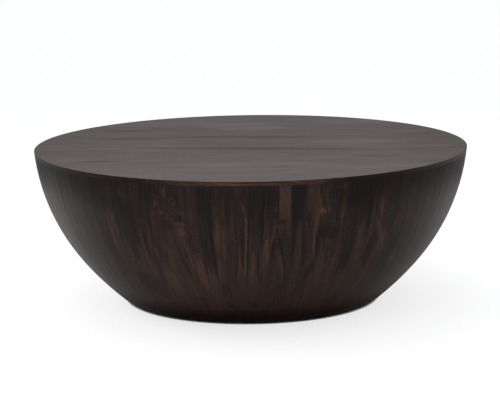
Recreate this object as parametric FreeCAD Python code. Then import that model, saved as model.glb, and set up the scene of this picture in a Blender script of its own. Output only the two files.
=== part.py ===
"""Low round drum table of solid wood, in millimetres.

A bowl of upright strips, glued into staves and mitred together like a barrel,
carries a flat top of edge-glued boards. A half-lapped ring joins the stave heads
to the top, two dovetailed battens keep the boards flat, and a bevelled board
closes the foot. The origin is on the floor, under the middle of the top; Z points
up and the front of the table looks along -Y.
"""

import FreeCAD, Part
import math
import os

from FreeCAD import Vector

# Whole table
top_diameter = 1143.0
base_diameter = 673.0
overall_height = 406.0
fit_clearance = 0.3        # between an inner piece and what it fits into
cut_overrun = 5.0          # how far a cutting shape passes the face that it cuts

# Outline of the bowl: two arcs, tangent where they meet at the knee
knee_height_share = 0.284  # of the rise from foot to rim
knee_radius_share = 0.494  # of the spread from foot to rim
knee_lean_share = 1.408    # lean at the knee, against that of the line from foot to rim

# Staves
stave_count = 26
strips_per_stave = 4
stave_turn = -7.0          # degrees from the front middle to the first stave joint
stave_thickness = 28.0     # at the middle of its flat back
head_land = 45.0           # upright flat inside the head, where top and ring fit
back_cut_height_shares = (0.58, 0.27)  # heights where the saw cuts of the back meet

# Top
board_count = 11
board_thickness = 22.0
lip_thickness = 11.0       # part of the board that lies on the staves

# Rim ring under the top
ring_quarters = 4
ring_turn = 12.0           # degrees from the X axis to the middle of the first lap
ring_thickness = 18.0
ring_width = 60.0          # at the corners of its inner saw cuts
ring_cuts_per_quarter = 3
lap_length = 70.0

# Battens across the boards
batten_count = 2
batten_spacing = 480.0
batten_width = 60.0
batten_thickness = 22.0
batten_end_gap = 5.0
dovetail_neck_width = 30.0
dovetail_head_width = 38.0
dovetail_depth = 8.0

# Base board
base_board_thickness = 18.0
base_board_lift = 4.0      # its underside above the feet of the staves

# Floor glides
glide_count = 6
glide_diameter = 25.0
glide_height = 3.0

# Pan-head wood screws, one through the middle of each quarter of the ring
screw_diameter = 5.0
screw_head_diameter = 10.0
screw_head_height = 3.0
screw_bite = 14.0          # length inside the top board
screw_hole_clearance = 0.5

# Levels and angles that follow
rim_radius = top_diameter / 2
foot_level = glide_height
seat_level = overall_height - lip_thickness
board_underside = overall_height - board_thickness
ring_underside = board_underside - ring_thickness
stave_angle = 360 / stave_count
strip_angle = stave_angle / strips_per_stave
first_joint_angle = stave_turn - 90


def section_point(radius, level):
    """Point of the bowl's section, drawn in the plane y = 0."""
    return Vector(radius, 0, level)


rim = section_point(rim_radius, overall_height)
foot = section_point(base_diameter / 2, foot_level)
knee = section_point(foot.x + knee_radius_share * (rim.x - foot.x),
                     foot.z + knee_height_share * (rim.z - foot.z))
knee_slope = knee_lean_share * (rim.x - foot.x) / (rim.z - foot.z)
knee_outward = Vector(1, 0, -knee_slope).normalize()


def outline_arc_to(end):
    """Centre and radius of the arc that leaves the knee and ends at the rim or foot."""
    way = knee - end
    radius = way.dot(way) / (2 * way.dot(knee_outward))
    return knee - knee_outward * radius, radius


def outline_at(level):
    """Outer radius of the bowl at one height, and the centre of its arc there."""
    centre, radius = outline_arc_to(rim if level >= knee.z else foot)
    return centre.x + math.sqrt(radius ** 2 - (level - centre.z) ** 2), centre


def outline_point(level):
    return section_point(outline_at(level)[0], level)


def back_point(level):
    """Point of the stave's back, square in from the outline by the thickness."""
    centre = outline_at(level)[1]
    outward = (outline_point(level) - centre).normalize()
    return outline_point(level) - outward * stave_thickness


def back_points():
    """Corners of the stave's back: the land in the head, then straight saw cuts."""
    land_level = seat_level - head_land
    land_radius = outline_at(land_level)[0] - stave_thickness
    points = [section_point(land_radius, seat_level), section_point(land_radius, land_level)]
    bowl_height = seat_level - foot_level
    points += [back_point(foot_level + share * bowl_height) for share in back_cut_height_shares]
    last = back_point(foot_level)
    slope = (last.x - points[-1].x) / (last.z - points[-1].z)
    points.append(section_point(last.x + slope * (foot_level - last.z), foot_level))
    return points


def back_radius_at(level):
    """Distance from the table's axis to the flat backs of the staves at one height."""
    points = back_points()
    for upper, lower in zip(points, points[1:]):
        if lower.z <= level <= upper.z:
            share = (level - lower.z) / (upper.z - lower.z)
            return lower.x + share * (upper.x - lower.x)
    return points[-1].x


def turned(shape, degrees):
    """Copy of a shape, turned about the table's axis."""
    copy = shape.copy()
    copy.rotate(Vector(0, 0, 0), Vector(0, 0, 1), degrees)
    return copy


def ring_of_points(radius, count, first_angle):
    """Corners of a regular polygon in plan."""
    angles = [math.radians(first_angle + 360 * number / count) for number in range(count)]
    return [(radius * math.cos(angle), radius * math.sin(angle)) for angle in angles]


def inner_polygon(level):
    """Plan of what fits inside the staves at one height, one straight edge to each."""
    flat = back_radius_at(level) - fit_clearance
    corner = flat / math.cos(math.radians(stave_angle / 2))
    return ring_of_points(corner, stave_count, first_joint_angle)


def plan_wire(corners, level):
    outline = [Vector(x, y, level) for x, y in corners]
    return Part.makePolygon(outline + outline[:1])


def flat_prism(corners, low_level, high_level):
    """Upright prism on a closed row of plan points."""
    return Part.Face(plan_wire(corners, low_level)).extrude(Vector(0, 0, high_level - low_level))


def flat_across(section, width):
    """Solid made by drawing a section of the bowl out sideways, half to each side."""
    slab = section.extrude(Vector(0, width, 0))
    slab.translate(Vector(0, -width / 2, 0))
    return slab


def outline_arc(high_level, low_level):
    middle = outline_point((high_level + low_level) / 2)
    return Part.Arc(outline_point(high_level), middle, outline_point(low_level)).toShape()


def make_strip(inner_radius):
    """One strip, flat across and mitred towards the axis, before its back is cut."""
    corners = [outline_point(foot_level), section_point(inner_radius, foot_level),
               section_point(inner_radius, seat_level), outline_point(seat_level)]
    edges = [outline_arc(seat_level, knee.z), outline_arc(knee.z, foot_level)]
    edges += [Part.makeLine(start, end) for start, end in zip(corners, corners[1:])]
    reach = rim_radius + cut_overrun
    half_width = reach * math.tan(math.radians(strip_angle / 2))
    slab = flat_across(Part.Face(Part.Wire(edges)), 2 * half_width)
    wedge = flat_prism([(0, 0), (reach, -half_width), (reach, half_width)],
                       foot_level - cut_overrun, seat_level + cut_overrun)
    return slab.common(wedge)


def make_stave():
    """Strips glued edge to edge and sawn flat across the back, middle at angle zero."""
    back = back_points()
    inner_radius = back[-1].x - cut_overrun
    strip = make_strip(inner_radius)
    middle = (strips_per_stave - 1) / 2
    strips = [turned(strip, strip_angle * (number - middle)) for number in range(strips_per_stave)]
    blank = strips[0].fuse(strips[1:])
    low_corner = section_point(inner_radius - cut_overrun, foot_level - cut_overrun)
    high_corner = section_point(low_corner.x, seat_level + cut_overrun)
    hollow = [high_corner, section_point(back[0].x, high_corner.z)] + back[1:]
    hollow += [section_point(back[-1].x, low_corner.z), low_corner, high_corner]
    cutter = flat_across(Part.Face(Part.makePolygon(hollow)), rim_radius)
    return blank.cut(cutter).removeSplitter().Solids[0]


def make_staves():
    stave = make_stave()
    first = first_joint_angle + stave_angle / 2
    return [turned(stave, first + number * stave_angle) for number in range(stave_count)]


def ring_corner_radius():
    """Distance from the axis to the corners of the ring's inner saw cuts."""
    return back_radius_at(board_underside) - fit_clearance - ring_width


def ring_clear_radius():
    """Distance from the axis to the ring's inner saw cuts, at their middles."""
    return ring_corner_radius() * math.cos(math.pi / ring_quarters / ring_cuts_per_quarter)


def ring_middle_radius():
    return (ring_clear_radius() + back_radius_at(board_underside)) / 2


def screw_places():
    """One screw through the middle of each quarter."""
    return ring_of_points(ring_middle_radius(), ring_quarters, ring_turn + 180 / ring_quarters)


def make_screw(x, y):
    """Screw that points up, with its head under the ring."""
    start = Vector(x, y, ring_underside - screw_head_height)
    head = Part.makeCylinder(screw_head_diameter / 2, screw_head_height, start)
    shank_length = screw_head_height + ring_thickness + screw_bite
    return head.fuse(Part.makeCylinder(screw_diameter / 2, shank_length, start))


def make_screws():
    return [make_screw(x, y) for x, y in screw_places()]


def make_screw_hole(x, y):
    """Clearance hole through the ring."""
    start = Vector(x, y, ring_underside - cut_overrun)
    depth = ring_thickness + 2 * cut_overrun
    return Part.makeCylinder((screw_diameter + screw_hole_clearance) / 2, depth, start)


def plan_sector(start, end):
    """Corners of a sector that reaches past the table's rim, angles in degrees."""
    reach = rim_radius / math.cos(math.radians((end - start) / 2))
    angles = [math.radians(angle) for angle in (start, (start + end) / 2, end)]
    return [(0, 0)] + [(reach * math.cos(angle), reach * math.sin(angle)) for angle in angles]


def make_ring():
    """Flat ring against the backs of the staves, with straight saw cuts inside."""
    cut_count = ring_quarters * ring_cuts_per_quarter
    inside = flat_prism(ring_of_points(ring_corner_radius(), cut_count, ring_turn),
                        ring_underside - cut_overrun, board_underside + cut_overrun)
    ring = flat_prism(inner_polygon(board_underside), ring_underside, board_underside).cut(inside)
    return ring.cut([make_screw_hole(x, y) for x, y in screw_places()])


def make_ring_quarters():
    """The ring in quarters, half-lapped where they meet."""
    quarter_angle = 360 / ring_quarters
    lap_angle = math.degrees(lap_length / ring_middle_radius())
    middle_level = ring_underside + ring_thickness / 2
    ring = make_ring()
    quarters = []
    for number in range(ring_quarters):
        start = ring_turn + number * quarter_angle - lap_angle / 2
        end = start + quarter_angle
        lower = flat_prism(plan_sector(start, end), ring_underside, middle_level)
        upper = flat_prism(plan_sector(start + lap_angle, end + lap_angle),
                           middle_level, board_underside)
        quarters.append(ring.common(lower).fuse(ring.common(upper)).removeSplitter())
    return quarters


def batten_middles():
    """X of each batten, spread evenly about the middle of the top."""
    first = -batten_spacing * (batten_count - 1) / 2
    return [first + number * batten_spacing for number in range(batten_count)]


def batten_half_length(middle):
    """Half the length that leaves the end gap to the ring's inner edge."""
    corner = abs(middle) + batten_width / 2
    return math.sqrt(ring_clear_radius() ** 2 - corner ** 2) - batten_end_gap


def dovetail(middle, half_length, clearance):
    """Flared tongue along Y that rises into the boards from their underside."""
    neck = dovetail_neck_width / 2 + clearance
    head = dovetail_head_width / 2 + clearance
    top_level = board_underside + dovetail_depth + clearance
    corners = [Vector(middle - neck, -half_length, board_underside),
               Vector(middle + neck, -half_length, board_underside),
               Vector(middle + head, -half_length, top_level),
               Vector(middle - head, -half_length, top_level)]
    face = Part.Face(Part.makePolygon(corners + corners[:1]))
    return face.extrude(Vector(0, 2 * half_length, 0))


def make_battens():
    """Bars that lie under the boards between the ring's inner edges."""
    battens = []
    for middle in batten_middles():
        half_length = batten_half_length(middle)
        start = Vector(middle - batten_width / 2, -half_length, board_underside - batten_thickness)
        bar = Part.makeBox(batten_width, 2 * half_length, batten_thickness, start)
        battens.append(bar.fuse(dovetail(middle, half_length, 0)).removeSplitter())
    return battens


def make_top_boards():
    """Edge-glued boards, turned round together, with a lip that rests on the staves."""
    lip = Part.makeCone(outline_at(seat_level)[0], rim_radius, lip_thickness,
                        Vector(0, 0, seat_level))
    plug = flat_prism(inner_polygon(seat_level), board_underside, seat_level)
    grooves = [dovetail(middle, batten_half_length(middle) + batten_end_gap, fit_clearance)
               for middle in batten_middles()]
    disc = lip.fuse(plug).cut(grooves + make_screws())
    board_width = top_diameter / board_count
    boards = []
    for number in range(board_count):
        corner = Vector(-rim_radius, number * board_width - rim_radius, board_underside)
        blank = Part.makeBox(top_diameter, board_width, board_thickness, corner)
        boards.append(disc.common(blank))
    return boards


def make_base_board():
    """Board with a bevelled edge that wedges into the foot of the bowl."""
    low = foot_level + base_board_lift
    high = low + base_board_thickness
    outlines = [plan_wire(inner_polygon(level), level) for level in (low, high)]
    return Part.makeLoft(outlines, True, True)


def make_glides():
    """Round pads stuck under the feet of the staves."""
    foot_middle = (outline_at(foot_level)[0] + back_radius_at(foot_level)) / 2
    pad = Part.makeCylinder(glide_diameter / 2, glide_height, Vector(0, -foot_middle, 0))
    return [turned(pad, number * 360 / glide_count) for number in range(glide_count)]


def save(name, shape):
    shape.exportStep(f"parts/{name}.step")


def save_row(pattern, shapes):
    """One file for each piece of a row of like pieces."""
    for number, shape in enumerate(shapes, start=1):
        save(pattern.format(number), shape)


os.makedirs("parts", exist_ok=True)
save_row("stave_{:02d}", make_staves())
save_row("top_board_{:02d}", make_top_boards())
save_row("rim_ring_quarter_{}", make_ring_quarters())
save_row("top_batten_{}", make_battens())
save("base_board", make_base_board())
save("floor_glides", Part.makeCompound(make_glides()))
save("ring_screws", Part.makeCompound(make_screws()))
print(f"outline radii {outline_arc_to(rim)[1]:.0f} and {outline_arc_to(foot)[1]:.0f} mm")
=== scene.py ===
import math
import random

import bpy
from mathutils import Matrix, Vector


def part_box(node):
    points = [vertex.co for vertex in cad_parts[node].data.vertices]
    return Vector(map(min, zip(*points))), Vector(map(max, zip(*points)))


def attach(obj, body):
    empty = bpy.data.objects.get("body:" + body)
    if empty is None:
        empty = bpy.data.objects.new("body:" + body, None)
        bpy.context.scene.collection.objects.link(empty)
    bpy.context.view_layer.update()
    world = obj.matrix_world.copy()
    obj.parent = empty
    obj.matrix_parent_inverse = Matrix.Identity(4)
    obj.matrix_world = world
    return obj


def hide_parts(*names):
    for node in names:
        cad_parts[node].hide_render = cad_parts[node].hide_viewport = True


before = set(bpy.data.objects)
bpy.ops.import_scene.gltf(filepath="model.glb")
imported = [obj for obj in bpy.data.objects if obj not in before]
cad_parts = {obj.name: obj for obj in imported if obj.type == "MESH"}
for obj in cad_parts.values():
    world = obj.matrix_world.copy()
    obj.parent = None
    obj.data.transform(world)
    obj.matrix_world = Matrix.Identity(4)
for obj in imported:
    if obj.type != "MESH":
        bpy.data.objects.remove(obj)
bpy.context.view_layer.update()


# The bowl: 26 staves of dark hardwood, each glued up from four narrow upright strips. The staves are mitred
# together like a barrel, sanded round outside and sawn flat inside, then stained and lacquered. The stain
# takes unevenly, so some strips are nearly black and others stay brown.
table_height = 0.406
rim_radius = 0.5715
foot_radius = 0.3365
foot_height = 0.003
head_height = 0.395
stave_count = 26
strips_per_stave = 4
stave_angle = math.tau / stave_count
first_joint = math.radians(-7.0)
stave_thickness = 0.028
head_land = 0.045
back_cut_shares = (0.58, 0.27)
joint_depth = 0.00035
joint_half_angle = math.radians(0.035)
foot_arris = 0.0012
head_arris = 0.0005
section_rows = 30
steps_per_strip = 4
crisp_angle = math.radians(30)
# The knee, where the two arcs of the outline meet: shares of the spread and the rise from foot to rim, and
# its lean against that of the line from foot to rim
knee_shares, knee_lean = (0.494, 0.284), 1.408

rim_point = Vector((rim_radius, 0, table_height))
foot_point = Vector((foot_radius, 0, foot_height))
spread = rim_point - foot_point
knee = Vector((foot_radius + knee_shares[0] * spread.x, 0, foot_height + knee_shares[1] * spread.z))
knee_outward = Vector((1, 0, -knee_lean * spread.x / spread.z)).normalized()


def arc_from_knee(end):
    """Centre and radius of the outline's arc that leaves the knee square to knee_outward."""
    way = knee - end
    radius = way.length_squared / (2 * way.dot(knee_outward))
    return knee - knee_outward * radius, radius


rim_arc, foot_arc = arc_from_knee(rim_point), arc_from_knee(foot_point)


def bowl_arc(height):
    return rim_arc if height >= knee.z else foot_arc


def bowl_radius(height):
    """Outer radius of the bowl at one height."""
    centre, radius = bowl_arc(height)
    return centre.x + math.sqrt(radius ** 2 - (height - centre.z) ** 2)


def run_from_foot(height):
    """Length along the bowl's outline from the foot up to one height."""
    def along(arc, low, high):
        centre, radius = arc
        return radius * (math.asin((high - centre.z) / radius) - math.asin((low - centre.z) / radius))
    run = along(foot_arc, foot_height, min(height, knee.z))
    return run + along(rim_arc, knee.z, max(height, knee.z))


def back_point(height):
    """Point of a stave's back, square in from the outline by the thickness."""
    centre, radius = bowl_arc(height)
    outside = Vector((bowl_radius(height), 0, height))
    return outside - (outside - centre) / radius * stave_thickness


def stave_section():
    """The stave's upright section as a closed ring of (reach, height, depth under the outside)."""
    ring = [(bowl_radius(foot_height) - foot_arris, foot_height, 0)]
    low, high = foot_height + foot_arris, head_height - head_arris
    for row in range(section_rows + 1):
        height = low + (high - low) * row / section_rows
        ring.append((bowl_radius(height), height, 0))
    ring.append((bowl_radius(head_height) - head_arris, head_height, 0))
    land = bowl_radius(head_height - head_land) - stave_thickness
    backs = [Vector((land, 0, head_height)), Vector((land, 0, head_height - head_land))]
    bowl_height = head_height - foot_height
    backs += [back_point(foot_height + share * bowl_height) for share in back_cut_shares]
    last = back_point(foot_height)
    slope = (last.x - backs[-1].x) / (last.z - backs[-1].z)
    backs.append(Vector((last.x + slope * (foot_height - last.z), 0, foot_height)))
    return ring + [(p.x, p.z, bowl_radius(p.z) - p.x) for p in backs]


def add_column(mesh, name, values, domain="POINT", kind="FLOAT"):
    """Numbers, or places written out flat, that a mesh keeps for its rule or its material."""
    column = mesh.attributes.new(name, kind, domain).data
    column.foreach_set("vector" if kind == "FLOAT_VECTOR" else "value", values)


def wire_mesh(name, columns, closed=False):
    """A wire through the points of a section, with what its rule needs to know about each point."""
    mesh = bpy.data.meshes.new(name)
    places = [(reach, 0, height) for reach, height in zip(columns["reach"], columns["height"])]
    count = len(places)
    edges = [(number, (number + 1) % count) for number in range(count if closed else count - 1)]
    mesh.from_pydata(places, edges, [])
    for column, values in columns.items():
        add_column(mesh, column, values)
    return mesh


class Value:
    """A result inside a node tree. Sums on it add the nodes that work them out."""

    def __init__(self, tree, socket):
        self.tree, self.socket = tree, socket

    def __getitem__(self, name):
        """Another result of the same node."""
        return Value(self.tree, self.socket.node.outputs[name])

    def maths(self, operation, *others, clamp=False):
        return self.tree.maths(operation, self, *others, clamp=clamp)

    def __add__(self, other):
        return self.maths("ADD", other)

    def __mul__(self, other):
        return self.maths("MULTIPLY", other)

    __radd__, __rmul__ = __add__, __mul__

    def __sub__(self, other):
        return self.maths("SUBTRACT", other)

    def __rsub__(self, other):
        return self.tree.maths("SUBTRACT", other, self)

    def __truediv__(self, other):
        return self.maths("DIVIDE", other)

    def __abs__(self):
        return self.maths("ABSOLUTE")

    def rise(self, low, high, start=0.0, end=1.0, soft=True):
        """Start below low, end above high, and a slope between them."""
        kind = "SMOOTHSTEP" if soft else "LINEAR"
        return self.tree.add("ShaderNodeMapRange", self, low, high, start, end, interpolation_type=kind)

    def fall(self, low, high, end=0.0):
        return self.rise(low, high, 1.0, end)

    def parts(self):
        """The three numbers of a place."""
        node = self.tree.add("ShaderNodeSeparateXYZ", self)
        return node["X"], node["Y"], node["Z"]


def is_wide(source):
    """Whether a source holds three numbers and not one."""
    if isinstance(source, Value):
        return source.socket.type in ("VECTOR", "RGBA")
    return isinstance(source, tuple)


class Tree:
    """A node tree with short ways to add nodes. Ending is where its results go in."""

    def __init__(self, nodes, ending):
        self.nodes, self.ending = nodes, ending

    def feed(self, socket, source):
        """Gives a socket a plain value, another node's result, or a list of results."""
        if isinstance(source, list):
            for one in source:
                self.feed(socket, one)
        elif isinstance(source, Value):
            self.nodes.links.new(source.socket, socket)
        elif socket.type == "VECTOR" and not is_wide(source):
            socket.default_value = (source, source, source)
        else:
            socket.default_value = source

    def add(self, kind, *sources, **others):
        """What a new node makes. Sources feed its inputs in order. Of the others, a capitalised name is an
        input, with underscores for spaces, and the rest are the node's settings."""
        node = self.nodes.nodes.new(kind)
        for name, setting in others.items():
            if name[0].islower():
                setattr(node, name, setting)
        for socket, source in zip(node.inputs, sources):
            self.feed(socket, source)
        for name, source in others.items():
            if name[0].isupper():
                self.feed(node.inputs[name.replace("_", " ")], source)
        return Value(self, next(socket for socket in node.outputs if socket.enabled))

    def give(self, **results):
        for name, source in results.items():
            self.feed(self.ending[name.replace("_", " ")], source)

    def maths(self, operation, *sources, clamp=False):
        """The result of one sum, on places if one of the sources is a place."""
        if any(is_wide(source) for source in sources):
            return self.add("ShaderNodeVectorMath", *sources, operation=operation)
        return self.add("ShaderNodeMath", *sources, operation=operation, use_clamp=clamp)

    def place(self, x=0.0, y=0.0, z=0.0):
        return self.add("ShaderNodeCombineXYZ", x, y, z)

    def named(self, name):
        return self.add("GeometryNodeInputNamedAttribute", data_type="FLOAT", Name=name)

    def stored(self, shape, name, value, domain="POINT", kind="FLOAT"):
        return self.add("GeometryNodeStoreNamedAttribute", data_type=kind, domain=domain,
                        Geometry=shape, Name=name, Value=value)

    def picked(self, index, *choices):
        """One of several numbers, by index."""
        switch = self.add("GeometryNodeIndexSwitch", data_type="FLOAT").socket.node
        while len(switch.index_switch_items) < len(choices):
            switch.index_switch_items.new()
        for socket, source in zip(switch.inputs, (index, *choices)):
            self.feed(socket, source)
        return Value(self, switch.outputs[0])

    def swept(self, section, columns, fill=False):
        """A section swept along a row of numbered columns, before a rule puts its points in place."""
        line = self.add("GeometryNodeMeshLine", Count=columns, Offset=(0, 0.01, 0))
        rail = self.stored(line, "column", self.add("GeometryNodeInputIndex"))
        rail, outline = (self.add("GeometryNodeMeshToCurve", wire) for wire in (rail, section))
        return self.add("GeometryNodeCurveToMesh", Curve=rail, Profile_Curve=outline, Fill_Caps=fill)

    def moved_to(self, shape, *place):
        place = self.place(*place)
        return self.add("GeometryNodeSetPosition", Geometry=shape, Position=place)

    def without(self, shape, *columns):
        for name in columns:
            shape = self.add("GeometryNodeRemoveAttribute", Geometry=shape, Name=name)
        return shape

    def end(self, shape, material):
        """The last two nodes of a rule: real geometry, with its material."""
        real = self.add("GeometryNodeRealizeInstances", shape)
        self.give(Geometry=self.add("GeometryNodeSetMaterial", Geometry=real, Material=material))


def new_group(name, kind, outputs, **inputs):
    """A group with inputs listed by kind and outputs that are numbers, or the geometry of a rule."""
    nodes = bpy.data.node_groups.new(name, kind)
    result = "Geometry" if kind == "GeometryNodeTree" else "Float"
    for way, lists in (("INPUT", inputs), ("OUTPUT", {result: outputs})):
        for socket_kind, names in lists.items():
            for socket in names:
                nodes.interface.new_socket(socket, in_out=way, socket_type="NodeSocket" + socket_kind)
    tree = Tree(nodes, nodes.nodes.new("NodeGroupOutput").inputs)
    return tree, tree.add("NodeGroupInput")


def new_rule(name, sizes, *shapes):
    """A rule for Geometry Nodes, with an input for each size, which makes one shape in one material."""
    whole = [size for size in sizes if isinstance(sizes[size], int)]
    return new_group(name, "GeometryNodeTree", ["Geometry"], Geometry=shapes, Material=["Material"],
                     Float=[size for size in sizes if size not in whole], Int=whole)


def made_by_rule(name, mesh, rule, sizes, material):
    """A plain mesh object made by a rule, with these sizes for its inputs of the same names."""
    piece = bpy.data.objects.new(name, mesh)
    bpy.context.scene.collection.objects.link(piece)
    modifier = piece.modifiers.new(rule.name, "NODES")
    modifier.node_group = rule
    values = sizes | {"Material": material}
    for item in rule.interface.items_tree:
        if item.name in values:
            modifier[item.identifier] = values[item.name]
    graph = bpy.context.evaluated_depsgraph_get()
    made = bpy.data.meshes.new_from_object(
        piece.evaluated_get(graph), preserve_all_data_layers=True, depsgraph=graph)
    piece.modifiers.remove(modifier)
    made.name = name
    piece.data = made
    return piece


def stave_rule(sizes):
    """Sweeps the section across one stave, in steps that leave a fine V between its strips."""
    tree, given = new_rule("Stave from its section", sizes, "Section")
    shape = tree.swept(given["Section"], strips_per_stave * steps_per_strip + 1, fill=True)
    column, reach, depth = tree.named("column"), tree.named("reach"), tree.named("depth")
    strip = (column / steps_per_strip).maths("FLOOR").maths("MINIMUM", strips_per_stave - 1)
    step = column - strip * steps_per_strip
    joints = [given["First Joint"], given["Second Joint"], given["Third Joint"]]
    start, end = tree.picked(strip, 0.0, *joints), tree.picked(strip, *joints, given["Stave Angle"])
    fine = given["Joint Half Angle"]
    angle = tree.picked(step, start, start + fine, (start + end) * 0.5, end - fine, end)
    at_joint = tree.picked(step, 1.0, 0.0, 0.0, 0.0, 1.0)
    outside = depth.maths("COMPARE", 0.0, 0.001)
    flat = reach / (angle - given["Stave Angle"] * 0.5).maths("COSINE")
    grooved = reach - at_joint * outside * given["Joint Depth"]
    radius = outside * grooved + (1.0 - outside) * flat
    bearing = angle + given["Turn"]
    shape = tree.moved_to(shape, radius * bearing.maths("SINE"), radius * bearing.maths("COSINE") * -1.0,
                          tree.named("height"))
    own = tree.add("GeometryNodeFieldOnDomain", strip, data_type="FLOAT", domain="FACE")
    own_start, own_end = tree.picked(own, 0.0, *joints), tree.picked(own, *joints, given["Stave Angle"])
    aside = (angle - (own_start + own_end) * 0.5) * radius
    shape = tree.stored(shape, "strip", strip + given["First Strip"], "FACE")
    grain = tree.place(aside, depth, tree.named("run"))
    shape = tree.stored(shape, "grain", grain, "CORNER", "FLOAT_VECTOR")
    tree.end(tree.without(shape, "column", "reach", "height", "depth", "run"), given["Material"])
    return tree.nodes


def noise(place, detail, roughness=0.5, scale=1.0, **others):
    return place.tree.add("ShaderNodeTexNoise", Vector=place, Scale=scale, Detail=detail,
                          Roughness=roughness, **others)


def wood_figure():
    """What any sawn wood shows: rings cut through at a slant, fibres, open pores and broad streaks.
    Grain is a place in the plank: across, deep and along, in metres. Heart is where the tree's middle
    lies: across, deep, and how much deeper for each metre along."""
    tree, given = new_group(
        "Wood figure", "ShaderNodeTree", ["Rings", "Fibres", "Lines", "Pores", "Streaks", "Ripple"],
        Vector=["Grain", "Heart"], Float=["Ring Width", "Wander", "Swell", "Piece"])

    def pattern(source, across, along, detail, roughness=0.5):
        return noise(source * (across, across, along), detail, roughness)

    place = given["Grain"] + given["Piece"] * (3.17, 5.31, 7.73)
    drift = (pattern(place, 26, 5, 2)["Color"] - 0.5) * given["Wander"]
    bent_place = place + drift
    x, y, z = (given["Grain"] + drift).parts()
    heart_x, heart_y, lean = given["Heart"].parts()
    aside, deep = x - heart_x, heart_y + lean * z - y
    away = (aside * aside + deep * deep).maths("SQRT")
    age = (away + given["Swell"]) / given["Ring Width"] + pattern(bent_place, 18, 3, 1) * 1.4
    year = age.maths("FRACT")
    ring = year.rise(0.3, 0.9) * year.fall(0.9, 1.0) * pattern(place, 30, 4, 1).rise(0.36, 0.62, 0.25)
    patches = pattern(place, 28, 14, 1).rise(0.45, 0.65, 0.15)
    tree.give(Rings=ring, Fibres=pattern(bent_place, 560, 24, 3, 0.6),
              Lines=pattern(bent_place, 200, 7, 3, 0.65),
              Pores=pattern(bent_place, 1300, 42, 1).rise(0.6, 0.74),
              Streaks=pattern(bent_place, 75, 5, 4, 0.6),
              Ripple=(pattern(bent_place, 45, 230, 1) - 0.5) * patches)
    return tree.nodes


def feathered(place, fine, shift):
    """A place pushed about by noise that is long along the grain, so that what is drawn there is ragged."""
    return place + (noise(place * fine, 4.0, 0.6)["Color"] - 0.5) * shift


def streak_group():
    """A streak in the wood between two places, widest at its middle and soft at its sides."""
    tree, given = new_group("Streak", "ShaderNodeTree", ["Mask"], Vector=["Place", "Start", "End"],
                            Float=["Half Width"])
    from_start, whole = given["Place"] - given["Start"], given["End"] - given["Start"]
    length_squared = whole.maths("DOT_PRODUCT", whole)
    share = from_start.maths("DOT_PRODUCT", whole).maths("DIVIDE", length_squared, clamp=True)
    gap = from_start.maths("DISTANCE", whole * share)
    taper = abs(share - 0.5).fall(0.1, 0.5, 0.25)
    tree.give(Mask=(gap / (given["Half Width"] * taper)).fall(0.1, 1.15))
    return tree.nodes


def knot_group():
    """A knot: a dark core that the rings close round. Swell bends the rings, Mask is the core."""
    tree, given = new_group("Knot", "ShaderNodeTree", ["Mask", "Swell"], Vector=["Place", "Centre"],
                            Float=["Radius"])
    away = ((given["Place"] - given["Centre"]) * (1.0, 1.0, 0.62)).maths("LENGTH")
    rough = noise(given["Place"], 2.0, scale=90.0).rise(0.3, 0.7, 0.75, 1.3)
    near = away / given["Radius"] * rough
    tree.give(Mask=near.fall(0.45, 1.0), Swell=(near * near * -0.16).maths("EXPONENT") * given["Radius"])
    return tree.nodes


def burr_group():
    """A patch where the grain curls round buds, in pale flecks and dark swirls about the plain wood."""
    tree, given = new_group("Burr", "ShaderNodeTree", ["Curls"], Vector=["Place", "Centre"],
                            Float=["Radius"])
    patch = (given["Place"].maths("DISTANCE", given["Centre"]) / given["Radius"]).fall(0.35, 1.0)
    swirl = noise(given["Place"] * (1.0, 1.0, 0.6), 3.0, scale=105.0, Distortion=1.4)
    tree.give(Curls=(swirl.rise(0.54, 0.68) - swirl.fall(0.34, 0.47) * 0.5) * patch)
    return tree.nodes


class Finish(Tree):
    """A material's tree, which gives its results to the material's own shader."""

    def __init__(self, name):
        self.material = bpy.data.materials.new(name)
        self.material.use_nodes = True
        nodes = self.material.node_tree
        super().__init__(nodes, nodes.nodes["Principled BSDF"].inputs)

    def group(self, shape, **feeds):
        return self.add("ShaderNodeGroup", node_tree=shape, **feeds)

    def own_place(self):
        return self.add("ShaderNodeTexCoord")["Object"]

    def attribute(self, name, output="Fac"):
        return self.add("ShaderNodeAttribute", attribute_name=name)[output]

    def relief(self, height, strength, distance):
        self.give(Normal=self.add("ShaderNodeBump", Strength=strength, Distance=distance, Height=height))

    def mixed(self, share, a, b, kind="VECTOR"):
        return self.add("ShaderNodeMix", data_type=kind, Factor=share, A=a, B=b)


def coloured(tone, stops):
    """A colour for each tone, from the darkest at 0 to the palest at 1."""
    ramp = tone.tree.add("ShaderNodeValToRGB", tone)
    elements = ramp.socket.node.color_ramp.elements
    while len(elements) < len(stops):
        elements.new(0.5)
    for element, (position, colour) in zip(elements, stops):
        element.position = position
        element.color = (*colour, 1)
    return ramp["Color"]


def stained(finish, tone, figure, redder, yellower):
    """The stain's brown for each tone, drifting slowly between a redder and a yellower brown."""
    return coloured(tone, stain_stops) * finish.mixed(figure["Streaks"].rise(0.35, 0.65), redder, yellower)


def lacquered(finish, colour, figure, film_and_sheen, film_roughness, film_index, bare_gloss):
    """Satin lacquer over the wood: the pores stay slightly open and the fibres show a little."""
    gloss = figure["Fibres"] * 0.7 + figure["Pores"] * 0.5
    finish.give(Base_Color=colour, Roughness=gloss.rise(0.2, 0.8, 0.50, 0.64), Coat_Weight=film_and_sheen,
                Coat_Roughness=film_roughness, Coat_IOR=film_index, Specular_IOR_Level=bare_gloss)
    finish.relief(1.0 - figure["Pores"] * 0.8 - figure["Rings"] * 0.2 + figure["Fibres"] * 0.3,
                  strength=0.6, distance=0.0001)


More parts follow.
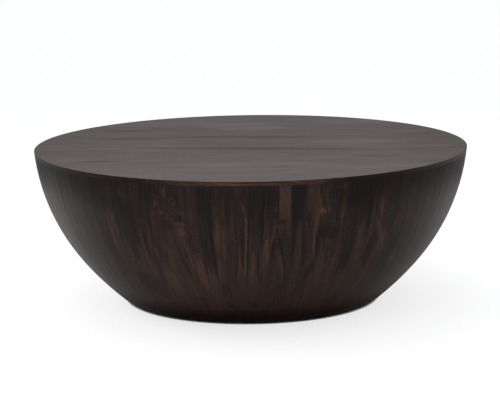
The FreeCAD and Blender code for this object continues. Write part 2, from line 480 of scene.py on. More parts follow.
def on_bowl(bearing, percent):
    """A place on the bowl: degrees from the front middle towards +X, and share of the way down."""
    height = table_height * (1 - percent / 100)
    turn, reach = math.radians(bearing), bowl_radius(height)
    return (reach * math.sin(turn), -reach * math.cos(turn), height)


skin_radius, skin_length = 0.5, run_from_foot(table_height)


def on_skin(bearing, percent):
    """The same place on the bowl's skin when it is rolled out flat, at its middle radius."""
    return (math.radians(bearing) * skin_radius, 0.0, -percent / 100 * skin_length)


stain_stops = (
    (0.0, (0.0062, 0.0033, 0.0031)),
    (0.28, (0.0126, 0.0074, 0.0065)),
    (0.5, (0.0290, 0.0150, 0.0110)),
    (0.74, (0.0560, 0.0280, 0.0158)),
    (1.0, (0.1050, 0.0550, 0.0280)),
)
# Streaks that run free of the joints, measured on the rolled-out skin: bearing and share of the way down in
# percent at either end, half width in mm, and tone against the wood round them in percent
bowl_streaks = (
    (-38.6, 15, -38.2, 35, 13, 8), (-40, 24, -39.9, 56, 6, 26), (-35.6, 14, -32, 38, 55, -14),
    (-27.4, 29, -28.5, 48, 7, 24), (-26.9, 40, -26.6, 53, 5, 24), (-29.2, 30, -29.6, 56, 6, -22),
    (-27.9, 60, -28.2, 72, 6, -12), (-25.2, 10, -25.8, 34, 7, 14), (-24.2, 12, -24.6, 17, 6, 28),
    (-22.6, 18, -23.3, 21.5, 6, 44), (-21.4, 4, -22.2, 14, 4, 34), (-23.6, 25, -21.2, 31, 24, -20),
    (-25.8, 54, -24.2, 80, 20, 22), (-23, 42, -22, 48, 7, 12), (-20.6, 22.5, -16.9, 24, 9, -32),
    (-19.4, 6, -17.4, 19, 5, -21), (-20.6, 26.8, -16.6, 27.2, 4, 28), (-19.6, 25.5, -16.8, 25.6, 2.5, -32),
    (-19.4, 31, -16.8, 34, 18, 20), (-18, 38, -15.2, 66, 17, 18), (-20.4, 36, -17.8, 68, 5, -28),
    (-19, 38, -16.9, 60, 3, -21), (-14.8, 46, -14, 76, 14, 18), (-18.6, 60, -17.4, 82, 14, 14),
    (-9.6, 3, -8.4, 16, 12, -14), (-9.2, 17, -8.8, 46, 10, 12), (-8.9, 50, -8.8, 66, 7, 12),
    (-7.4, 24, -7.3, 56, 4, 14), (-5.9, 3, -5.7, 30, 8, -12), (-3.8, 3, -3.4, 12, 8, 14),
    (-0.95, 2, -0.6, 12, 3, 36), (-2.7, 11, -1.4, 24, 3, 42), (-1.4, 22, -1.3, 36, 3, 36),
    (-1.3, 34, -2.2, 64, 4, 42), (-0.7, 24, -1.5, 62, 4, -27), (-2.1, 26, -2.8, 56, 4, -27),
    (-2.7, 34, -3.8, 66, 4, 20), (-3.4, 34, -4.8, 66, 4, -25), (-4.4, 30, -4, 74, 6, 10),
    (0.6, 4, 0.4, 22, 9, -12), (2.2, 18, 2.4, 40, 14, -20), (3.9, 37, 3.4, 58, 14, 20),
    (1.2, 38, -0.2, 62, 8, 20), (0.3, 46, 0.8, 78, 15, 10), (1.9, 42, 1.4, 64, 4, -25),
    (2.4, 60, 2.5, 66, 5, -22), (6, 28, 4.9, 42, 6, 25), (6.3, 30, 9.6, 58, 6, -22),
    (5.9, 34, 5.1, 52, 5, -22), (6.8, 44, 8.6, 62, 6, 20), (6.6, 26, 9, 25, 11, -36),
    (8.4, 30, 8.2, 48, 24, -12), (11, 16, 10.8, 48, 8, -21), (12, 18, 12.3, 46, 6, 16),
    (13, 20, 14.2, 54, 6, -25), (14.6, 22, 14.6, 27, 7, -20), (16.1, -8, 16.4, 42, 13, 28),
    (14.6, -5, 14.5, 20, 16, 14), (16.4, 36, 17.4, 52, 6, 20), (17.2, 20, 20.4, 18.5, 8, 30),
    (17.6, 17, 17.8, 23.5, 10, 30), (17.5, 26, 17.7, 60, 9, -24), (19.2, 28, 21.4, 38, 34, -20),
    (20.4, 40, 20.9, 54, 5, -18), (20.4, 3, 20.6, 18, 4, -20), (21.4, 5, 24.6, 5, 8, 16),
    (23, 18, 23.2, 27, 9, 16), (17, 54, 15.4, 66, 14, -24), (33.2, 12, 35.9, 28, 9, 24),
    (33.4, 26, 39, 48, 9, 16), (33.2, 31, 36.2, 46, 8, -25), (33.8, 40, 34.8, 62, 18, -26),
    (27.4, 5, 31.2, 19, 56, -24), (30.8, 37, 30.4, 58, 18, 8), (37.8, 36, 38.4, 54, 20, 16),
    (26.4, 83, 31, 87, 36, -40), (45, 52, 46.4, 66, 16, 8), (-1.4, 81.5, 2.2, 85.5, 9, -50),
    (-8.6, 83, -6.4, 86, 14, -40), (-54, 11, -36, 20, 60, -22), (-36, 64, -31, 80, 60, -22),
    (31, 66, 35, 78, 50, -5), (-60, 80, -50, 88, 50, -14), (-22, 79, -14, 80, 6, -20),
    (-32, 86, -25, 87, 12, -24),
)
# How far the ragged edge of a mark strays
mark_stray = 0.006
# Burrs: place on the bowl, and radius of the patch in mm
bowl_burrs = (
    (-22.4, 10, 34), (-33.2, 11, 22), (-29.3, 27, 12), (-18.9, 13, 18), (21.4, 10, 34), (37.3, 24, 18),
    (-38.6, 8, 14), (96, 18, 30), (178, 30, 36), (-104, 12, 28),
)
# Knots: place on the bowl, and radius of the core in mm
bowl_knots = (
    (-18.4, 23.2, 9), (1.4, 84, 9), (74, 33, 10), (112, 62, 8), (151, 21, 11), (-83, 25, 9), (-124, 45, 11),
    (-163, 70, 8),
)


def marks_on(marks, stave, reach):
    """The marks that come near one stave. Reach is how far a mark of size 1 spreads round its line."""
    middle = math.degrees(first_joint + (stave - 0.5) * stave_angle)
    near = []
    for mark in marks:
        bearings, width = (mark[0:4:2], mark[4]) if len(mark) == 6 else (mark[:1], mark[2])
        gaps = [(bearing - middle + 180) % 360 - 180 for bearing in bearings]
        size = width / 1000 * reach + mark_stray
        margin = math.degrees(stave_angle / 2 + size / foot_radius)
        if min(gaps) < margin and max(gaps) > -margin:
            near.append(mark)
    return near


# The stain and the lacquer of the bowl. Edges of marks are pushed about by a fine noise, in metres.
edge_fineness, edge_shift = (240, 240, 18), 0.009
edge_shift_along = 0.035
bowl_stain = 0.455
redder_brown, yellower_brown = (1.03, 0.96, 1.04), (0.98, 1.02, 0.95)
# Warmer tint of the painted shade at the foot
foot_shade_warmth = (1.38, 1.0, 0.78)
bowl_film = 0.40


def stave_finish(stave):
    """Dark stain over one stave, with each strip's own figure and tone and the marks that lie there."""
    finish = Finish(f"stained wood of stave {stave}")
    place, swell, cores = finish.own_place(), 0.0, 0.0
    for bearing, percent, radius in marks_on(bowl_knots, stave, 4.0):
        centre = on_bowl(bearing, percent)
        knot = finish.group(knot_shape, Place=place, Centre=centre, Radius=radius / 1000)
        swell, cores = knot["Swell"] + swell, knot["Mask"] + cores
    figure = finish.group(figure_shape, Grain=finish.attribute("grain", "Vector"),
                          Heart=finish.attribute("heart", "Vector"), Ring_Width=0.0065, Wander=0.006,
                          Swell=swell, Piece=finish.attribute("strip"))

    # Where it lies: share of the way down, and the sine of the bearing, which is 1 at the far right
    x, y, height = place.parts()
    down = height.rise(table_height, 0.0, soft=False)
    sine = x / (place * (1.0, 1.0, 0.0)).maths("LENGTH")
    sideways = abs(sine)
    flanks, sides = sideways.rise(0.20, 0.36), sideways.rise(0.40, 0.80)
    near_rim, under_rim = down.fall(0.02, 0.26), down.fall(0.0, 0.36)

    # The figure stands out less at the sides and low down
    calm = sides.fall(0.0, 1.0, 0.4) * down.fall(0.50, 0.85, 0.6)
    lines, fibres, streaks = ((figure[name] - 0.5) * calm for name in ("Lines", "Fibres", "Streaks"))

    # Each strip's own dark and pale stretch, with ragged ends
    ragged, stretches = lines * 0.22 + streaks * 0.40 + down, 0.0
    for name, amount in (("dark stretch", -1.0), ("pale stretch", 1.0)):
        start, end, strength = finish.attribute(name, "Vector").parts()
        mask = (ragged - start).rise(-0.05, 0.05) * (ragged - end).fall(-0.10, 0.10) * strength
        stretches = mask * amount + stretches
    stretches = stretches * figure["Lines"].rise(0.3, 0.66, 1.12, 0.72)

    # The marks that run free of the joints
    turn = x.maths("ARCTAN2", y * -1.0)
    skin = finish.place(turn * skin_radius, 0.0, down * -skin_length)
    skin, free = feathered(skin, edge_fineness, (edge_shift, 0.0, edge_shift_along)), 0.0
    for *ends, half_width, percent in marks_on(bowl_streaks, stave, 1.15):
        streak = finish.group(streak_shape, Place=skin, Start=on_skin(*ends[:2]), End=on_skin(*ends[2:]),
                              Half_Width=half_width / 1000)
        free = finish.maths("MULTIPLY_ADD", streak, percent / 100, free)
    free = free * figure["Lines"].rise(0.35, 0.62, 0.62, 1.02)
    place, curls = feathered(place, edge_fineness, (edge_shift, edge_shift, edge_shift_along)), 0.0
    for bearing, percent, radius in marks_on(bowl_burrs, stave, 1.0):
        centre = on_bowl(bearing, percent)
        curls = finish.group(burr_shape, Place=place, Centre=centre, Radius=radius / 1000) + curls

    own = (finish.attribute("tone") * 1.35 + stretches * 1.1 + free + streaks * 0.5 - cores * 0.2
           + curls * 0.34 + figure["Ripple"] * 0.45)
    # Over the stain lies painted light and shade: darker under the rim and more so near the rim at the sides,
    # darker all down the sides, a little paler where the bowl turns towards the lit floor, and much darker
    # towards the foot, a painted shadow where the bowl meets the floor.
    stain_and_shade = (bowl_stain - under_rim * 0.12 - near_rim * sides * 0.06 - near_rim * flanks * 0.06
             - sides * 0.12 + down.rise(0.42, 0.66) * 0.045 - down.rise(0.74, 0.88) * 0.09
             - down.rise(0.86, 0.96) * 0.36)
    tone = (own * down.fall(0.60, 0.86, 0.5) + stain_and_shade - figure["Rings"] * 0.14 - figure["Pores"] * 0.08
            + lines * 0.34 + fibres * 0.42).maths("ADD", 0.0, clamp=True)
    colour = stained(finish, tone, figure, redder_brown, yellower_brown)
    # The painted shade towards the foot is tinted warmer
    warmth = finish.mixed(down.rise(0.74, 0.92), (1.0, 1.0, 1.0), foot_shade_warmth)

    # The film of lacquer, which shines less near the rim and at the foot. Its weight follows where the
    # studio's light falls: a painted sheen in a band about 37 to 57 degrees either side of the front, and
    # painted shade near the rim, on the flanks, at the far edges and at the foot.
    rim_right = down.fall(0.08, 0.40) * sine.rise(0.70, 0.86)
    rim_left = down.fall(0.10, 0.44) * sine.fall(-0.90, -0.60)
    film_and_sheen = (bowl_film + streaks * 0.3 + lines * 0.2 - near_rim * sides * 0.26 - near_rim * flanks * 0.06
            - sideways.rise(0.20, 0.50) * 0.06 - rim_right * 0.20 - rim_left * 0.12
            + sideways.rise(0.60, 0.84) * 0.22 - sideways.rise(0.90, 0.97) * 0.24)
    film_and_sheen = film_and_sheen.maths("MULTIPLY", down.fall(0.80, 0.95, 0.22), clamp=True)
    lacquered(finish, colour * warmth, figure, film_and_sheen, film_roughness=0.58, film_index=1.30, bare_gloss=0.02)
    return finish.material


figure_shape, streak_shape = wood_figure(), streak_group()
knot_shape, burr_shape = knot_group(), burr_group()

# Joints inside the front staves, in degrees from the front middle, as the photograph shows them
seen_joints = {
    1: (-4.5, -0.7, 2.8), 2: (9.8, 13.4, 17.0), 3: (25.2, 28.7, 32.2), 4: (37.4, 40.6, 44.2),
    24: (-44.5, -40.6, -37.2), 25: (-31.6, -28.5, -24.5), 26: (-16.5, -13.2, -9.9),
}
# Strips whose figure shows in the photograph: a dark and a pale stretch as start and end of the way down and
# strength, in percent. Strips are counted from the joint at -7 degrees, so 0 to 3 are the four of stave_01.
seen_figure = {
    0: ((0, 24, 10), None), 1: ((6, 30, 8), None), 2: ((0, 32, 18), None), 3: ((0, 22, 20), None),
    4: ((30, 90, 8), (0, 20, 20)), 5: ((0, 24, 30), None), 6: (None, (0, 30, 4)), 7: ((22, 44, 12), None),
    8: ((0, 50, 10), None), 9: ((0, 60, 22), None), 10: ((0, 30, 24), (34, 58, 6)), 11: ((0, 20, 20), None),
    12: ((0, 10, 10), None), 13: (None, (35, 55, 5)), 14: ((42, 68, 14), None), 92: (None, (3, 12, 10)),
    93: ((34, 60, 12), None), 94: (None, (13, 34, 2)), 95: ((14, 44, 20), None), 96: ((16, 46, 22), None),
    97: ((14, 42, 18), None), 98: ((0, 50, 8), None), 102: ((0, 60, 28), None),
}
# Strips seen without stretches, some of them in the sheen at the sides of the photograph
plain_strips = {99, 100, 101, 103, *range(15, 24), *range(83, 92)}
# Strips sawn one after another from one plank share its heart: (bearing of the heart, depth, lean)
seen_hearts = {**dict.fromkeys((2, 3, 4), (5.8, -0.008, 0.15)), **dict.fromkeys((0, 1), (-13.0, 0.03, 0.0)),
               **dict.fromkeys((99, 100), (-24.0, 0.06, 0.10))}
# Reach at which the bearing of a heart counts
heart_reach = 0.52


def strip_choices(joints_of):
    """Heart, tone and stretches of every strip, drawn at random where the photograph doesn't show them."""
    draw = random.Random(26)
    strips = []
    for number in range(stave_count * strips_per_stave):
        stave, place = divmod(number, strips_per_stave)
        joints = [0.0, *joints_of[stave + 1], stave_angle]
        middle = first_joint + stave * stave_angle + (joints[place] + joints[place + 1]) / 2
        heart = (draw.uniform(-0.06, 0.06), draw.uniform(0.03, 0.10), draw.uniform(-0.14, 0.14))
        tone = draw.gauss(0, 0.028)
        dark = (draw.choice((0.0, draw.uniform(0, 0.3))), draw.uniform(0.35, 0.75), draw.uniform(0.15, 0.4))
        pale = (draw.uniform(0, 0.5), draw.uniform(0.5, 0.9), draw.uniform(0.04, 0.2))
        dark = dark if draw.random() < 0.36 else (0, 0, 0)
        pale = pale if draw.random() < 0.4 else (0, 0, 0)
        if number in seen_hearts:
            bearing, deep, lean = seen_hearts[number]
            heart = ((math.radians(bearing) - middle) * heart_reach, deep, lean)
        if number in plain_strips:
            dark, pale = (0, 0, 0), (0, 0, 0)
        if number in seen_figure:
            dark, pale = ([part / 100 for part in stretch or (0, 0, 0)] for stretch in seen_figure[number])
        strips.append({"heart": heart, "tone": tone, "dark stretch": dark, "pale stretch": pale})
    return strips


def stave_joints():
    """Angles of the three joints inside each stave, from its first edge."""
    draw = random.Random(8)
    joints = {}
    for number in range(1, stave_count + 1):
        even = [stave_angle * (place + draw.uniform(-0.1, 0.1)) / strips_per_stave for place in (1, 2, 3)]
        edge = first_joint + (number - 1) * stave_angle
        if number in seen_joints:
            even = [(math.radians(bearing) - edge) % math.tau for bearing in seen_joints[number]]
        joints[number] = even
    return joints


joints_of_stave = stave_joints()
choices = strip_choices(joints_of_stave)
section_columns = dict(zip(("reach", "height", "depth"), zip(*stave_section())))
section_columns["run"] = [run_from_foot(height) for height in section_columns["height"]]
section = wire_mesh("stave_section", section_columns, closed=True)


def stave_sizes(stave):
    first, second, third = joints_of_stave[stave]
    return {"Turn": first_joint + (stave - 1) * stave_angle, "Stave Angle": stave_angle,
            "First Joint": first, "Second Joint": second, "Third Joint": third,
            "Joint Half Angle": joint_half_angle, "Joint Depth": joint_depth,
            "First Strip": float((stave - 1) * strips_per_stave)}


rule = stave_rule(stave_sizes(1))
for stave in range(1, stave_count + 1):
    node = f"stave_{stave:02d}"
    piece = made_by_rule(f"{node}_wood", section, rule, stave_sizes(stave), stave_finish(stave))
    mesh = piece.data
    owners = [choices[round(item.value)] for item in mesh.attributes["strip"].data]
    for name in ("heart", "dark stretch", "pale stretch"):
        add_column(mesh, name, [part for own in owners for part in own[name]], "FACE", "FLOAT_VECTOR")
    add_column(mesh, "tone", [own["tone"] for own in owners], "FACE")
    mesh.shade_smooth()
    mesh.set_sharp_from_angle(angle=crisp_angle)
    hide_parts(node)
    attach(piece, "root")


# The base board that closes the foot and the ring of four half-lapped quarters under the top. Both are sawn
# from 18 mm birch plywood and left bare, with their thin sheets showing along the cuts.
ply_thickness = 0.0014
birch_stops = ((0.0, (0.045, 0.022, 0.012)), (0.45, (0.26, 0.155, 0.085)), (0.8, (0.47, 0.33, 0.20)),
               (1.0, (0.58, 0.44, 0.29)))


def bare(finish, tone, stops, rough, relief, depth):
    """Sawn or planed wood without any finish on it."""
    finish.give(Base_Color=coloured(tone, stops), Roughness=rough, Specular_IOR_Level=0.3)
    finish.relief(relief, strength=0.5, distance=depth)
    return finish.material


def plywood(name, underside):
    """Bare birch plywood whose lower face lies at this height. Its sawn edges show end grain in each sheet
    that they cut across, and dark glue between the sheets."""
    finish = Finish(name)
    x, y, z = finish.own_place().parts()
    figure = finish.group(figure_shape, Grain=finish.place(y, z, x), Heart=(0.1, 0.02, 0.03),
                          Ring_Width=0.011, Wander=0.03, Piece=7.0)
    layer = (z - underside) / ply_thickness
    facing = [abs(part) for part in finish.add("ShaderNodeNewGeometry")["Normal"].parts()]
    sawn = facing[2].fall(0.80, 0.95)
    odd = layer.maths("FLOOR").maths("MODULO", 2.0).maths("COMPARE", 1.0, 0.1)
    end_grain = abs(odd - facing[1].rise(0.5, 0.85)) * sawn
    glue = abs(layer.maths("FRACT") - 0.5).rise(0.42, 0.48) * sawn
    tone = (0.62 - figure["Rings"] * 0.16 + figure["Fibres"] * 0.2 + figure["Streaks"] * 0.2
            - end_grain * 0.30 - glue * 0.45 - figure["Pores"] * 0.1)
    rough = 0.55 + figure["Fibres"] * 0.2 + end_grain * 0.15
    relief = 1.0 + figure["Fibres"] * 0.4 - figure["Pores"] * 0.5 - glue * 0.4
    return bare(finish, tone, birch_stops, rough, relief, depth=0.0002)


def finish_nodes(material, *names):
    """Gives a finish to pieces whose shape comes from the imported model."""
    for name in names:
        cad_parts[name].material_slots[0].material = material


finish_nodes(plywood("base plywood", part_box("base_board")[0][2]), "base_board")
ring_nodes = [f"rim_ring_quarter_{number}" for number in (1, 2, 3, 4)]
ring_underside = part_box(ring_nodes[0])[0][2]
finish_nodes(plywood("ring plywood", ring_underside), *ring_nodes)


# The battens: two straight bars of planed hardwood across the boards, with a dovetailed tongue that slides in
# a groove, so that the solid top stays flat and can still swell. They are hidden and stay unstained.
batten_stops = ((0.0, (0.10, 0.052, 0.028)), (0.5, (0.27, 0.155, 0.085)), (1.0, (0.42, 0.27, 0.16)))


def batten_wood():
    finish = Finish("bare batten wood")
    x, y, z = finish.own_place().parts()
    figure = finish.group(figure_shape, Grain=finish.place(x, z, y), Heart=(0.05, 0.44, 0.02),
                          Ring_Width=0.006, Wander=0.005, Piece=3.0)
    tone = (0.35 - figure["Rings"] * 0.22 + figure["Streaks"] * 0.3 + figure["Fibres"] * 0.3
            - figure["Pores"] * 0.16)
    rough = 0.5 + figure["Fibres"] * 0.2 + figure["Pores"] * 0.1
    relief = 1.0 + figure["Fibres"] * 0.4 - figure["Pores"] * 0.6
    return bare(finish, tone, batten_stops, rough, relief, depth=0.00015)


finish_nodes(batten_wood(), "top_batten_1", "top_batten_2")


# The round top: eleven boards edge-glued, then turned to a disc with a lip that lies on the stave heads. The
# same stain and lacquer as the bowl; the long-grain edge at the front takes less stain than the end grain.
board_count = 11
board_width = 2 * rim_radius / board_count
rim_steps, drill_sides, saw_height = 240, 16, 0.2
top_arris = 0.0009
lip_arris_share = 0.4
board_arris = 0.00015
plug_clearance = 0.0003
plug_flat = bowl_radius(head_height - head_land) - stave_thickness - plug_clearance
screw_circle, screw_turn, screw_hole = 0.4854, math.radians(57), 0.005
board_sizes = {
    "Rim Radius": rim_radius, "Seat Radius": bowl_radius(head_height),
    "Plug Corner": plug_flat / math.cos(stave_angle / 2), "Plug Turn": first_joint - math.pi / 2,
    "Top Height": table_height, "Lip": table_height - head_height, "Thickness": 0.022,
    "Board Width": board_width, "Board Middle": 0.0, "Groove Neck": 0.0306, "Groove Head": 0.0386,
    "Groove Depth": 0.0083, "Groove Reach": 0.3893, "Groove Place": 0.24, "Screw Circle": screw_circle,
    "Screw Turn": screw_turn, "Screw Hole": screw_hole, "Screw Bite": 0.014,
}


def board_rule():
    """Turns the whole disc, saws one board out of it, ploughs the batten grooves and drills for screws."""
    tree, given = new_rule("Board from the round top", board_sizes)

    def moved(shape, place, turn=(0, 0, 0)):
        return tree.add("GeometryNodeTransform", Geometry=shape, Translation=place, Rotation=turn)

    def worked(operation, **shapes):
        return tree.add("GeometryNodeMeshBoolean", operation=operation, solver="EXACT", **shapes)

    underside = given["Top Height"] - given["Thickness"]
    seat = given["Top Height"] - given["Lip"]
    lip = tree.add("GeometryNodeMeshCone", Vertices=rim_steps, Radius_Top=given["Rim Radius"],
                   Radius_Bottom=given["Seat Radius"], Depth=given["Lip"])
    plug_height = given["Thickness"] - given["Lip"] * 0.5
    plug = tree.add("GeometryNodeMeshCylinder", Vertices=stave_count, Radius=given["Plug Corner"],
                    Depth=plug_height)
    plug = moved(plug, tree.place(z=plug_height * 0.5 + underside), tree.place(z=given["Plug Turn"]))
    disc = worked("UNION", Mesh_2=[moved(lip, tree.place(z=seat)), plug])
    size = tree.place(given["Rim Radius"] * 3.0, given["Board Width"], saw_height)
    saw = moved(tree.add("GeometryNodeMeshCube", Size=size),
                tree.place(0.0, given["Board Middle"], given["Top Height"]))
    board = worked("INTERSECT", Mesh_2=[disc, saw])

    x, y, z = tree.add("GeometryNodeInputPosition").parts()
    rise = z + 0.5
    width = tree.add("ShaderNodeMix", Factor=rise, A=given["Groove Neck"], B=given["Groove Head"])
    plough = tree.moved_to(tree.add("GeometryNodeMeshCube", Size=(1, 2, 1)), x * width,
                           y * given["Groove Reach"], rise * given["Groove Depth"])
    ploughs = [moved(plough, tree.place(side, 0.0, underside))
               for side in (given["Groove Place"] * -1.0, given["Groove Place"])]
    drill = tree.add("GeometryNodeMeshCylinder", Vertices=drill_sides, Radius=given["Screw Hole"] * 0.5,
                     Depth=given["Screw Bite"] * 2.0)
    drills = tree.add("GeometryNodeRealizeInstances",
                      round_the_circle(tree, drill, 4, given["Screw Circle"], underside, given["Screw Turn"]))
    tree.end(worked("DIFFERENCE", Mesh_1=board, Mesh_2=[*ploughs, drills]), given["Material"])
    return tree.nodes


def round_the_circle(tree, shape, count, radius, height, first_turn):
    """Copies of a shape round a circle, which starts in the direction of its first turn."""
    circle = tree.add("GeometryNodeMeshCircle", Vertices=count, Radius=radius)
    copies = tree.add("GeometryNodeInstanceOnPoints", Points=circle, Instance=shape)
    return tree.add("GeometryNodeTransform", Geometry=copies, Translation=tree.place(z=height),
                    Rotation=tree.place(z=first_turn))


# Streaks in the top, and three broad pale patches that are painted reflections, from the photograph: X and Y
# of either end and half width in mm, and tone against the wood round them in percent
top_streaks_and_reflections = (
    (-340, -30, 120, -60, 26, -20), (-60, -50, 340, -105, 26, -20), (-200, 155, 170, 125, 26, -20),
    (-400, 130, -240, 150, 34, -12), (-450, -240, -310, -245, 12, -26), (-410, 270, -270, 275, 22, -20),
    (420, 160, 490, 155, 12, -22), (260, -200, 400, -220, 30, -12), (-80, -190, 20, -190, 12, -10),
    # The three broad pale patches on the next line are painted reflections of the studio's light, at the
    # front, the back and the right
    (-220, -310, 200, -310, 40, 8), (-120, 340, 100, 310, 110, 12), (160, 40, 400, 30, 75, 12),
)
# Where the front edge starts and stops being pale, in X, and how far in from the rim its finish reaches
pale_edge_left, pale_edge_right = (-0.31, -0.13), (0.12, 0.25)
edge_start, edge_full = 0.0024, 0.0014
top_stain, top_film = 0.065, 0.43


def top_wood_material():
    finish = Finish("stained top wood")
    place = finish.own_place()
    x, y, z = place.parts()
    figure = finish.group(figure_shape, Grain=finish.place(y, table_height - z, x),
                          Heart=finish.attribute("heart", "Vector"), Ring_Width=0.008, Wander=0.010,
                          Piece=finish.attribute("board"))
    # The streaks and the three painted reflections of the table above, ragged at their edges
    ragged_place, free = feathered(place, (9, 90, 90), (0.09, 0.012, 0.0)), 0.0
    for *sizes, percent in top_streaks_and_reflections:
        x1, y1, x2, y2, half_width = (size / 1000 for size in sizes)
        streak = finish.group(streak_shape, Place=ragged_place, Start=(x1, y1, table_height),
                              End=(x2, y2, table_height), Half_Width=half_width)
        free = finish.maths("MULTIPLY_ADD", streak, percent / 100, free)
    side = (x * x + y * y).maths("SQRT").rise(rim_radius - edge_start, rim_radius - edge_full)
    long_grain = x.rise(*pale_edge_left) * x.fall(*pale_edge_right)
    lines, fibres, streaks = (figure[name] - 0.5 for name in ("Lines", "Fibres", "Streaks"))
    # Towards the back and a little at the left and right ends the top is painted darker: painted shade
    ends, back = abs(x).rise(0.30, rim_radius), y.rise(0.0, 0.5)
    board_tone = finish.attribute("tone")
    edge = (long_grain * figure["Lines"].rise(0.3, 0.7, 0.12, 0.46) - 0.26 + long_grain * 0.16
            - streaks * 0.6)
    face = (top_stain + board_tone + free * 0.25 + streaks * 0.42 + lines * 0.14 - ends * 0.02
            - back * 0.09)
    tone = finish.mixed(side, face, edge, "FLOAT") - figure["Rings"] * 0.06 - figure["Pores"] * 0.08
    tone = (tone + fibres * 0.2).maths("ADD", 0.50, clamp=True)
    colour = stained(finish, tone, figure, (0.99, 0.98, 1.12), (0.96, 1.0, 1.07))
    # The film is stronger towards the front and weaker at the left and right ends: painted sheen
    film_and_sheen = (top_film + streaks * 0.7 + lines * 0.12 + free * 1.15 + board_tone - ends * 0.09
            + y.fall(-0.54, -0.10) * 0.24 - y.rise(-0.1, 0.2) * 0.06 + back * 0.02)
    film_and_sheen = film_and_sheen.maths("MULTIPLY", side.fall(0.0, 1.0, 0.2), clamp=True)
    lacquered(finish, colour, figure, film_and_sheen, film_roughness=0.46, film_index=1.22, bare_gloss=0.03)
    return finish.material


def bevel_edges(piece, width, weight_of):
    """A small round on the edges that weight_of gives a weight, from their two ends."""
    mesh = piece.data
    ends = [(mesh.vertices[edge.vertices[0]].co, mesh.vertices[edge.vertices[1]].co) for edge in mesh.edges]
    weights = [weight_of(a, b) for a, b in ends]
    add_column(mesh, "bevel_weight_edge", weights, "EDGE")
    bevel = piece.modifiers.new("arris", "BEVEL")
    bevel.width = width
    bevel.segments = 3
    bevel.limit_method = "WEIGHT"
    bevel.harden_normals = True
    mesh.shade_smooth()
    mesh.set_sharp_from_angle(angle=crisp_angle)
    for crisp, weight in zip(mesh.attributes["sharp_edge"].data, weights):
        crisp.value = crisp.value and weight == 0


def board_edge_weight(a, b):
    """Full round on the rim's top edge, a finer one along the joints and under the lip."""
    near = 1e-5
    on_rim = min(a.xy.length, b.xy.length) > bowl_radius(head_height) - near
    at_top = min(a.z, b.z) > table_height - near
    at_lip = max(a.z, b.z) < head_height + near and min(a.z, b.z) > head_height - near
    along_joint = abs(a.y - b.y) < near / 10
    if on_rim and at_top and not along_joint:
        return 1.0
    if on_rim and at_lip and not along_joint:
        return lip_arris_share
    return board_arris / top_arris if at_top and along_joint else 0.0


top_wood, rule = top_wood_material(), board_rule()
draw = random.Random(11)
for number in range(1, board_count + 1):
    middle = (number - 0.5) * board_width - rim_radius
    node = f"top_board_{number:02d}"
    piece = made_by_rule(f"{node}_wood", bpy.data.meshes.new(node), rule,
                         board_sizes | {"Board Middle": middle}, top_wood)
    mesh = piece.data
    heart = (middle + draw.uniform(-0.05, 0.05), draw.uniform(0.04, 0.12), draw.uniform(-0.05, 0.05))
    count = len(mesh.polygons)
    add_column(mesh, "heart", heart * count, "FACE", "FLOAT_VECTOR")
    add_column(mesh, "tone", [draw.gauss(0, 0.016)] * count, "FACE")
    add_column(mesh, "board", [200.0 + number] * count, "FACE")
    bevel_edges(piece, top_arris, board_edge_weight)
    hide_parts(node)
    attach(piece, "root")


# The ring screws: four pan-head wood screws of zinc-plated steel, one through the middle of each quarter of
# the ring. Each has a domed head with a cross recess, a plain neck, a cut thread and a point.
screw_head, screw_head_height, screw_length = 0.010, 0.003, 0.032
screw_neck, screw_root, thread_start, thread_end = 0.0019, 0.0017, 0.009, 0.0285
thread_pitch, rows_per_pitch, screw_crisp_angle = 0.0024, 6, math.radians(38)
screw_sizes = {
    "Steps": 24, "Recess Width": 0.0012, "Recess Reach": 0.0027, "Recess Depth": 0.0017,
    "Head Height": screw_head_height, "Count": 4, "Circle": screw_circle, "First Turn": screw_turn,
    "Height": ring_underside,
}
# The head's dome, in shares of its half width and height
dome_shares = ((0, 1), (0.62, 0.985), (0.80, 0.90), (0.92, 0.72), (0.985, 0.45), (1, 0.22), (0.985, 0.03),
               (0.95, 0))
lathe_columns = ("reach", "height", "thread turn", "thread depth")


def turned_group():
    """A profile of reach and height, turned on a lathe and closed where it meets the middle."""
    tree, given = new_group("Turned from a profile", "GeometryNodeTree", ["Geometry"],
                            Geometry=["Profile"], Int=["Steps"])
    swept = tree.swept(given["Profile"], given["Steps"] + 1.0)
    share = tree.named("column") / given["Steps"]
    turn = share * math.tau
    crest = abs((tree.named("thread turn") - share).maths("FRACT") - 0.5).fall(0.05, 0.30)
    reach = crest * tree.named("thread depth") + tree.named("reach")
    shape = tree.moved_to(swept, reach * turn.maths("COSINE"), reach * turn.maths("SINE"),
                          tree.named("height"))
    shape = tree.add("GeometryNodeMergeByDistance", Geometry=shape, Distance=1e-6)
    tree.give(Geometry=tree.without(shape, "column", *lathe_columns))
    return tree.nodes


def lathe_rule(name, sizes, work_over=None):
    """Turns a profile, works the turned shape over, and sets a copy on each mark of a circle."""
    tree, given = new_rule(name, sizes, "Profile")
    shape = tree.add("GeometryNodeGroup", node_tree=lathe, Profile=given["Profile"], Steps=given["Steps"])
    if work_over:
        shape = work_over(tree, given, shape)
    copies = round_the_circle(tree, shape, given["Count"], given["Circle"], given["Height"],
                              given["First Turn"])
    tree.end(copies, given["Material"])
    return tree.nodes


